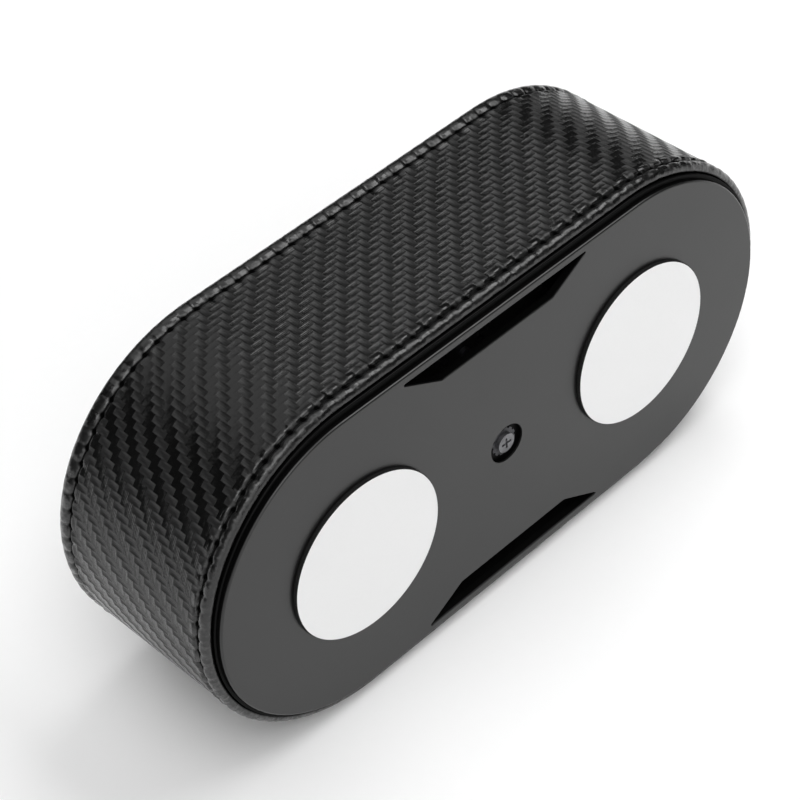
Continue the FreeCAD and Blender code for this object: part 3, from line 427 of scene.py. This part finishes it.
def on_wrap(u):
    """Point of the box's spine and the way out, for lengths round the leather from the bottom's middle."""
    u = np.mod(u, PERIMETER)
    half = math.pi * WRAP_RADIUS
    marks = np.cumsum([STATION, half, 2 * STATION, half])
    left = np.clip((u - marks[0]) / WRAP_RADIUS, 0, math.pi)
    right = np.clip((u - marks[2]) / WRAP_RADIUS, 0, math.pi)
    out_x = np.where(u < marks[2], -np.sin(left), np.sin(right))
    out_z = np.where(u < marks[2], -np.cos(left), np.cos(right))
    x = np.where(u < marks[0], -u, -STATION)
    x = np.where(u > marks[1], np.clip(u - marks[1] - STATION, -STATION, STATION), x)
    x = np.where(u > marks[3], STATION - (u - marks[3]), x)
    return x, out_x, out_z


def scatter(count, seed):
    """Repeatable numbers from -1 to 1, one for each stitch."""
    return np.random.default_rng(seed).uniform(-1.0, 1.0, count)


def bell(distance, width):
    """1 at no distance, falling off to either side."""
    return np.exp(-(distance / width) ** 2)


def hem_profile():
    """Leather from the middle of the band down into the stitch groove, over the hem's bead and back inside.

    Each row gives the depth in from the hem, the radius, and the length from the stitch line. They are
    millimetres until the end, which gives metres.
    """
    middle = HEM / MM
    outside = WRAP_RADIUS / MM
    band = outside - 0.3
    inner = outside - 1.55
    bead = 1.72
    bead_centre = outside - 1.98
    groove_start = 4.9
    groove_run = 1.5
    groove_drop = 0.9
    rows = [(inset, band) for inset in (middle, 22.0, 16.0, 12.0, 9.5, 8.2, 7.4, 6.8, 6.3, 5.9, 5.5, 5.2)]
    rows += [(groove_start - groove_run * share, band - groove_drop * share ** 2.6)
             for share in np.linspace(0.0, 0.95, 14)]
    groove = len(rows)
    rows += [(bead - bead * math.sin(angle), bead_centre + bead * math.cos(angle))
             for angle in np.linspace(-1.1, 2.6, 27)]
    rows += [(1.3, outside - 3.3), (1.6, outside - 3.2), (1.8, outside - 1.7), (middle, inner)]
    steps = np.linalg.norm(np.diff(rows, axis=0), axis=1)
    lengths = np.concatenate([[0.0], np.cumsum(steps)])
    return np.column_stack([rows, lengths - lengths[groove]]) * MM


def stitch_lean(share, stitch, seed):
    """How far a stitch leans from the stitch line towards the hem, along its length."""
    return STITCH_SLANT * (0.5 - share) + 0.12 * MM * scatter(STITCHES, seed)[stitch]


def puckers(reach, u, seed):
    """How far the leather stands off its plain surface, by reach from the stitch line and round the box."""
    turn = u / PITCH
    stitch = np.floor(turn).astype(int) % STITCHES
    share = turn - np.floor(turn)
    pull = 1.0 + 0.25 * scatter(STITCHES, seed + 1)[stitch]
    puff = np.sin(math.pi * share) ** 0.8 * pull
    band_puff = puff * bell(reach + 1.6 * MM, 0.9 * MM)
    hem_puff = puff * bell(reach - 1.9 * MM, 1.3 * MM)
    valley = bell(reach - stitch_lean(share, stitch, seed), 0.35 * MM)
    hole = bell((share - np.round(share)) * PITCH, 0.8 * MM)
    pit = hole * bell(reach, 1.0 * MM)
    dip = hole * bell(np.abs(reach) - 1.2 * MM, 0.9 * MM)
    return MM * (0.26 * band_puff + 0.14 * hem_puff - 0.12 * valley - 0.3 * pit - 0.14 * dip)


def make_leather_band():
    """The wrapped band: two rolled hems, stitch valleys and the puckers between the stitches."""
    steps_per_stitch = 14
    rows = hem_profile()
    edge = np.gradient(rows[:, :2], axis=0)
    edge /= np.linalg.norm(edge, axis=1)[:, None]
    count = steps_per_stitch * STITCHES
    u = np.arange(count) * (PERIMETER / count)
    x, out_x, out_z = on_wrap(u)
    halves = []
    for side, seed in HEMS.values():
        lift = puckers(rows[:, 2:], u[None, :], seed)
        widened = np.interp(rows[:, 2:], HEM_REACH, (0.0, 1.0, 1.0, 0.0))
        inset = rows[:, :1] + HEM_EXTRA[side] * widened + lift * edge[:, 1:]
        radius = np.minimum(rows[:, 1:2] - lift * edge[:, :1], WRAP_RADIUS)
        y = side * (HEM - inset)
        span = side * (STITCH_LINE + rows[:, 2])
        halves.append((np.stack([x + radius * out_x, y, MIDDLE + radius * out_z], axis=2), span))
    (back, back_span), (front, front_span) = halves
    rings = np.concatenate([back, front[-2:0:-1]])
    spans = np.concatenate([back_span, front_span[-2:0:-1]])
    faces = []
    lengths = []
    step = PERIMETER / count
    for row in range(len(rings)):
        following = (row + 1) % len(rings)
        low = spans[row]
        high = spans[following]
        for column in range(count):
            ahead = (column + 1) % count
            faces.append((row * count + column, row * count + ahead,
                          following * count + ahead, following * count + column))
            near = column * step
            far = near + step
            lengths.extend(((near, low), (far, low), (far, high), (near, high)))
    band = build("leather_band", rings.reshape(-1, 3), faces, FINISHES["leather"], lengths)
    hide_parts("leather_wrap")
    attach(band, "case")


def make_stitches(name, side, seed):
    """One thread for each stitch of a hem, lying in the valley and diving into its holes."""
    around = 8
    steps = 9
    gap = 0.07
    sunk = 1.75 * MM
    rise = 0.7 * MM
    half_thread = 0.32 * MM
    points = []
    faces = []
    lengths = []
    for stitch in range(STITCHES):
        share = np.linspace(0.0, 1.0, steps)
        u = (stitch + gap + (1 - 2 * gap) * share) * PITCH
        x, out_x, out_z = on_wrap(u)
        bow = np.sin(math.pi * share)
        radius = WRAP_RADIUS - sunk + rise * bow ** 0.5
        y = side * (STITCH_LINE - HEM_EXTRA[side] + stitch_lean(share, stitch, seed))
        thick = half_thread * (0.55 + 0.45 * bow ** 0.4)
        first = len(points)
        for place in range(steps):
            for turn in range(around):
                angle = 2 * math.pi * turn / around
                r = radius[place] + thick[place] * math.cos(angle)
                points.append((x[place] + r * out_x[place], y[place] + thick[place] * math.sin(angle),
                               MIDDLE + r * out_z[place]))
        for place in range(steps - 1):
            for turn in range(around):
                ahead = (turn + 1) % around
                low = first + place * around
                high = low + around
                faces.append((low + turn, high + turn, high + ahead, low + ahead))
                start = share[place] * PITCH
                end = share[place + 1] * PITCH
                lengths.extend(((start, turn / around), (end, turn / around),
                                (end, (turn + 1) / around), (start, (turn + 1) / around)))
        for cap, flip in ((first, False), (first + (steps - 1) * around, True)):
            face = [cap + turn for turn in range(around)]
            faces.append(face[::-1] if flip else face)
            lengths.extend([(0.0, 0.0)] * around)
    thread = build(name, points, faces, THREAD, lengths)
    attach(thread, "case")


def turned(name, profile, x, z, material, segments=160):
    """A solid turned about an axis along Y, from (radius, y) points that start and end on the axis."""
    points = []
    faces = []
    rings = []
    for radius, y in profile:
        if radius == 0:
            rings.append([len(points)])
            points.append((x, y, z))
            continue
        rings.append(list(range(len(points), len(points) + segments)))
        for step in range(segments):
            angle = 2 * math.pi * step / segments
            points.append((x + radius * math.cos(angle), y, z + radius * math.sin(angle)))
    for near, far in zip(rings, rings[1:]):
        for step in range(segments):
            ahead = (step + 1) % segments
            quad = [near[step % len(near)], near[ahead % len(near)],
                    far[ahead % len(far)], far[step % len(far)]]
            faces.append(list(dict.fromkeys(quad)))
    return build(name, points, faces, material)


def make_pads():
    """Foam discs with cut, slightly swollen sides, and their paper liners."""
    most_swell = 0.16 * MM
    for side, sign in SIDES:
        low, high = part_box(f"pad_{side}")
        face = high[1]
        back = low[1]
        radius = (high[0] - low[0]) / 2
        thick = face - back
        profile = [(0, face), (radius - 0.5 * MM, face), (radius - 0.12 * MM, face - 0.04 * MM)]
        for share in np.linspace(0.1, 0.9, 7):
            swell = most_swell * math.sin(math.pi * share) ** 0.7
            profile.append((radius - most_swell + swell, face - share * thick))
        profile += [(radius - 0.14 * MM, back + 0.04 * MM), (radius - 0.45 * MM, back), (0, back)]
        foam = turned(f"foam_pad_{side}", profile, sign * STATION, MIDDLE, FINISHES["foam"])
        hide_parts(f"pad_{side}")
        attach(foam, "back")
        low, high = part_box(f"pad_liner_{side}")
        edge = (high[0] - low[0]) / 2
        sheet = [(0, high[1]), (edge - 0.05 * MM, high[1]), (edge, high[1] - 0.04 * MM),
                 (edge, low[1] + 0.05 * MM), (edge - 0.06 * MM, low[1]), (edge - 0.3 * MM, low[1]),
                 (0, low[1])]
        liner = turned(f"release_liner_{side}", sheet, sign * STATION, MIDDLE, FINISHES["liner"])
        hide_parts(f"pad_liner_{side}")
        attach(liner, "back")


def pillow(half, divisions):
    """A crowned cover, drawn out from a divided cube, and the order of the points on its front seam."""
    square = 3.2
    crown = 2.6
    rows_to_seam = 4
    shape = bmesh.new()
    bmesh.ops.create_cube(shape, size=2.0)
    bmesh.ops.subdivide_edges(shape, edges=shape.edges[:], cuts=divisions, use_grid_fill=True)
    level = 1.0 - 2.0 * rows_to_seam / (divisions + 1)
    seam = [vertex for vertex in shape.verts if abs(vertex.co.y - level) < 1e-4]
    for vertex in shape.verts:
        way = vertex.co
        flat = (abs(way.x) ** square + abs(way.z) ** square) ** (1 / square)
        whole = (flat ** crown + abs(way.y) ** crown) ** (1 / crown)
        vertex.co = Vector((way.x * half[0], way.y * half[1], way.z * half[2])) / max(whole, 1e-6)
    shape.verts.index_update()
    seam.sort(key=lambda vertex: math.atan2(vertex.co.z, vertex.co.x))
    return shape, [vertex.index for vertex in seam]


def make_piping(name, path, thick):
    """A sewn-in cord round a seam that lies square to Y."""
    around = 10
    forward = Vector((0.0, 1.0, 0.0))
    middle = sum(path, Vector()) / len(path)
    points = []
    faces = []
    for place, spot in enumerate(path):
        run = path[(place + 1) % len(path)] - path[place - 1]
        out = run.cross(forward).normalized()
        out = out if out.dot(spot - middle) > 0 else -out
        for turn in range(around):
            angle = 2 * math.pi * turn / around
            points.append(spot + thick * (math.cos(angle) * out + math.sin(angle) * forward))
            near = place * around
            far = (place + 1) % len(path) * around
            ahead = (turn + 1) % around
            faces.append((near + turn, near + ahead, far + ahead, far + turn))
    return build(name, points, faces, FINISHES["cushion_cloth"])


def plump(cover, allowance):
    """Fill a closed cover by cloth pressure and keep each point near its cut place."""
    fill_frames = 20
    count = len(cover.data.vertices)
    cut = np.empty(count * 3)
    cover.data.vertices.foreach_get("co", cut)
    cloth = cover.modifiers.new("fill", "CLOTH")
    cloth.settings.quality = 4
    cloth.settings.mass = 0.2
    cloth.settings.use_pressure = True
    cloth.settings.uniform_pressure_force = 4.0
    cloth.settings.effector_weights.gravity = 0.0
    for step in range(fill_frames):
        scene.frame_set(step + 1)
    filled = cover.evaluated_get(bpy.context.evaluated_depsgraph_get()).to_mesh()
    swollen = np.empty(count * 3)
    filled.vertices.foreach_get("co", swollen)
    cover.modifiers.remove(cloth)
    scene.frame_set(1)
    move = (swollen - cut).reshape(-1, 3)
    far = np.linalg.norm(move, axis=1, keepdims=True)
    move *= np.minimum(1.0, allowance / np.maximum(far, 1e-9))
    cover.data.vertices.foreach_set("co", cut + move.ravel())
    cover.data.update()


def make_cushions():
    """Watch cushions: stuffed suede pillows with a piped seam round them."""
    swelling = 1.2 * MM
    cord = 0.8 * MM
    margin = Vector((1.9, 1.3, 1.9)) * MM
    for side, _ in SIDES:
        low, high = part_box(f"cushion_{side}")
        middle = (Vector(low) + Vector(high)) / 2
        half = (Vector(high) - Vector(low)) / 2 - margin
        shape, seam = pillow(half, 21)
        mesh = bpy.data.meshes.new(f"stuffed_cushion_{side}")
        shape.to_mesh(mesh)
        shape.free()
        mesh.transform(Matrix.Translation(middle))
        mesh.polygons.foreach_set("use_smooth", [True] * len(mesh.polygons))
        mesh.materials.append(FINISHES["cushion_cloth"])
        cushion = bpy.data.objects.new(f"stuffed_cushion_{side}", mesh)
        scene.collection.objects.link(cushion)
        plump(cushion, swelling)
        path = [cushion.data.vertices[index].co.copy() for index in seam]
        smooth = cushion.modifiers.new("smooth", "SUBSURF")
        smooth.levels = 1
        smooth.render_levels = 1
        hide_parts(f"cushion_{side}")
        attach(cushion, f"watch_cushion_{side}")
        piping = make_piping(f"cushion_piping_{side}", path, cord)
        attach(piping, f"watch_cushion_{side}")


make_leather_band()
make_stitches("stitches_back", *HEMS["back"])
make_stitches("stitches_front", *HEMS["front"])
make_pads()
make_cushions()


# Camera, at the photograph's place
AZIMUTH = math.radians(-39.94)
ELEVATION = math.radians(43.45)
ROLL = math.radians(-6.615)
TARGET = Vector((-0.00891, 0.0, 0.05506))
DISTANCE = 0.6502
back = Vector((math.sin(AZIMUTH) * math.cos(ELEVATION), -math.cos(AZIMUTH) * math.cos(ELEVATION),
               math.sin(ELEVATION)))
right = Vector((math.cos(AZIMUTH), math.sin(AZIMUTH), 0.0))
up = back.cross(right)
across = math.cos(ROLL) * right + math.sin(ROLL) * up
upward = math.cos(ROLL) * up - math.sin(ROLL) * right
lens = bpy.data.cameras.new("camera")
lens.sensor_width = 36.0
lens.lens = 108.99
lens.clip_start = 0.01
camera = bpy.data.objects.new("camera", lens)
camera.matrix_world = Matrix.Translation(TARGET + DISTANCE * back) @ Matrix(
    (across, upward, back)).transposed().to_4x4()
scene.collection.objects.link(camera)
scene.camera = camera


# Floor and light
def make_floor():
    """White paper that fades out on the left, where the photographed leather mirrors a dark room."""
    left = -0.5
    reach = 3.0
    finish = Finish("floor_paper", Specular_IOR_Level=0.0)
    fibre = finish.noise(300.0, 2.0)
    fade = finish.axis(finish.place(), 0).smooth(left + 0.02, left + 0.14)
    finish.set(Base_Color=finish.blend(fibre, grey(0.925), grey(0.935)), Roughness=0.95 + 0.05 * fibre,
               Alpha=fade)
    corners = [(left, -reach, 0.0), (reach, -reach, 0.0), (reach, reach, 0.0), (left, reach, 0.0)]
    floor = build("floor", corners, [(0, 1, 2, 3)], finish.material)


def make_sky():
    """Light from a few patches of a dark room, with a white background for the rays that would see it."""
    room = 0.04
    white = 0.95
    world = bpy.data.worlds.new("studio")
    scene.world = world
    world.use_nodes = True
    sky = Wiring(world.node_tree)
    way = sky.node("ShaderNodeTexCoord", {}, {}, "Generated")

    def glow(azimuth, elevation, edge, core):
        """A patch of light round a direction; azimuth runs from -Y, the photographed side, towards +X."""
        turn = math.radians(azimuth)
        rise = math.radians(elevation)
        axis = (math.sin(turn) * math.cos(rise), -math.cos(turn) * math.cos(rise), math.sin(rise))
        nearness = sky.node("ShaderNodeVectorMath", {"operation": "DOT_PRODUCT"}, [way, axis], "Value")
        return nearness.smooth(edge, core)

    def rays(kind):
        return sky.node("ShaderNodeLightPath", {}, {}, kind)

    window = 1.45 * glow(-35, 27, 0.78, 0.95)
    skylight = 3.05 * glow(-30, 65, 0.88, 0.97)
    left_fill = 0.13 * glow(-75, 20, 0.80, 0.95)
    far_light = 0.8 * glow(170, 58, 0.80, 0.96)
    light = room + window + skylight + left_fill + far_light
    mirrored = rays("Is Glossy Ray") * (sky.axis(way, 2) < 0.0)
    seen = rays("Is Camera Ray").larger(mirrored).larger(rays("Is Transmission Ray"))
    background = sky.tree.nodes["Background"]
    sky.feed(background.inputs["Strength"], seen * white + (1 - seen) * light)
    sky.feed(background.inputs["Color"], grey(1.0))


def softbox(name, place, aim, width, height, watts):
    light = bpy.data.lights.new(name, "AREA")
    light.shape = "RECTANGLE"
    light.size = width
    light.size_y = height
    light.energy = watts
    box = bpy.data.objects.new(name, light)
    way = Vector(aim) - Vector(place)
    box.matrix_world = Matrix.Translation(place) @ way.to_track_quat("-Z", "Y").to_matrix().to_4x4()
    scene.collection.objects.link(box)


make_floor()
make_sky()
softbox("overhead_softbox", place=(0.6, -0.12, 1.15), aim=(0.0, -0.12, 0.05),
        width=1.1, height=0.5, watts=8.2)
